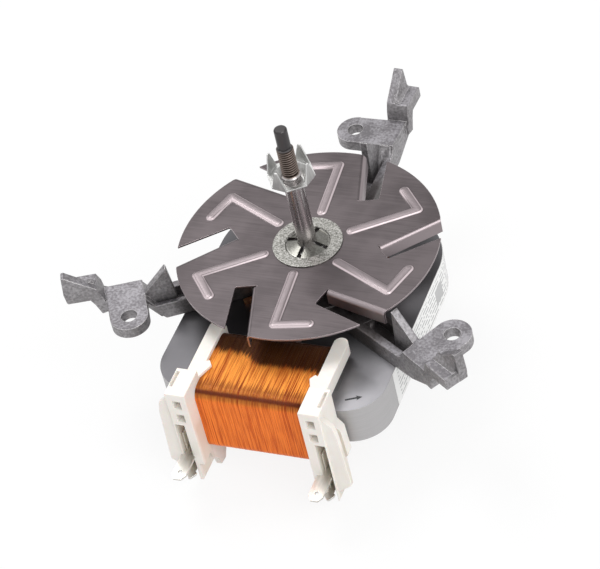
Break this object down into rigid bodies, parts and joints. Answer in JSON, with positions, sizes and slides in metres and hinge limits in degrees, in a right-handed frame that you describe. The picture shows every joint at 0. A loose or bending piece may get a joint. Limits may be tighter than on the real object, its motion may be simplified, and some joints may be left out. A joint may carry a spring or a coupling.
{
  "type": "oven fan motor",
  "caption": "Shaded-pole oven fan motor with a single coil, a three-arm cast bracket, a slotted cooling disc and a long shaft with a threaded end.",
  "frame": {"origin": "on the shaft axis, in the plane of the three mounting ears' upper faces", "axes": "+Z along the shaft towards its threaded end, -Y from the shaft to the coil, X along the coil's axis"},
  "size_m": [0.1809, 0.1998, 0.1247],
  "materials": {
    "bracket_casting": "matt die-cast grey",
    "bearing_bronze": "oil-soaked sintered bronze",
    "felt": "oiled felt",
    "cap_steel": "zinc plated",
    "core_steel": "bare laminations, satin",
    "coil_bar_steel": "bare laminations, satin",
    "bobbin_plastic": "ivory, satin",
    "winding_wire": "lacquered copper wire, glossy orange",
    "terminal_metal": "tinned, satin",
    "shading_copper": "bare copper",
    "lower_casting": "matt die-cast grey",
    "screw_steel": "zinc plated",
    "label_white": "white, satin",
    "shaft_steel": "ground steel",
    "rotor_steel": "turned laminations",
    "cage_aluminium": "die-cast",
    "spacer_steel": "turned",
    "washer_fibre": "fibre",
    "spring_steel": "oiled spring steel",
    "disc_steel": "satin sheet steel",
    "hub_zinc": "zinc plated",
    "clip_steel": "bright spring steel"
  },
  "bodies": {
    "motor": {"bracket": "bracket_casting", "upper_bearing": "bearing_bronze", "upper_oil_felt": "felt", "upper_bearing_cap": "cap_steel", "stator_core": "core_steel", "coil_bar": "coil_bar_steel", "bobbin": "bobbin_plastic", "winding": "winding_wire", "tab_terminal_1": "terminal_metal", "tab_terminal_2": "terminal_metal", "tab_terminal_3": "terminal_metal", "tab_terminal_4": "terminal_metal", "shading_ring_1": "shading_copper", "shading_ring_2": "shading_copper", "shading_ring_3": "shading_copper", "shading_ring_4": "shading_copper", "lower_bracket": "lower_casting", "lower_bearing": "bearing_bronze", "lower_oil_felt": "felt", "lower_bearing_cap": "cap_steel", "clamp_screw_1": "screw_steel", "clamp_screw_2": "screw_steel", "clamp_screw_3": "screw_steel", "blank_label": "label_white"},
    "rotor": {"shaft": "shaft_steel", "rotor_core": "rotor_steel", "rotor_cage": "cage_aluminium", "upper_spacer": "spacer_steel", "lower_spacer": "spacer_steel", "upper_thrust_washer": "washer_fibre", "lower_thrust_washer": "washer_fibre", "retaining_ring": "spring_steel", "cooling_disc": "disc_steel", "disc_hub": "hub_zinc", "star_clip": "clip_steel"}
  },
  "joints": [
    {"name": "rotor_spin", "type": "hinge", "parent": "motor", "child": "rotor", "pos_m": [0, 0, 0], "axis": [0, 0, 1], "continuous": true}
  ]
}
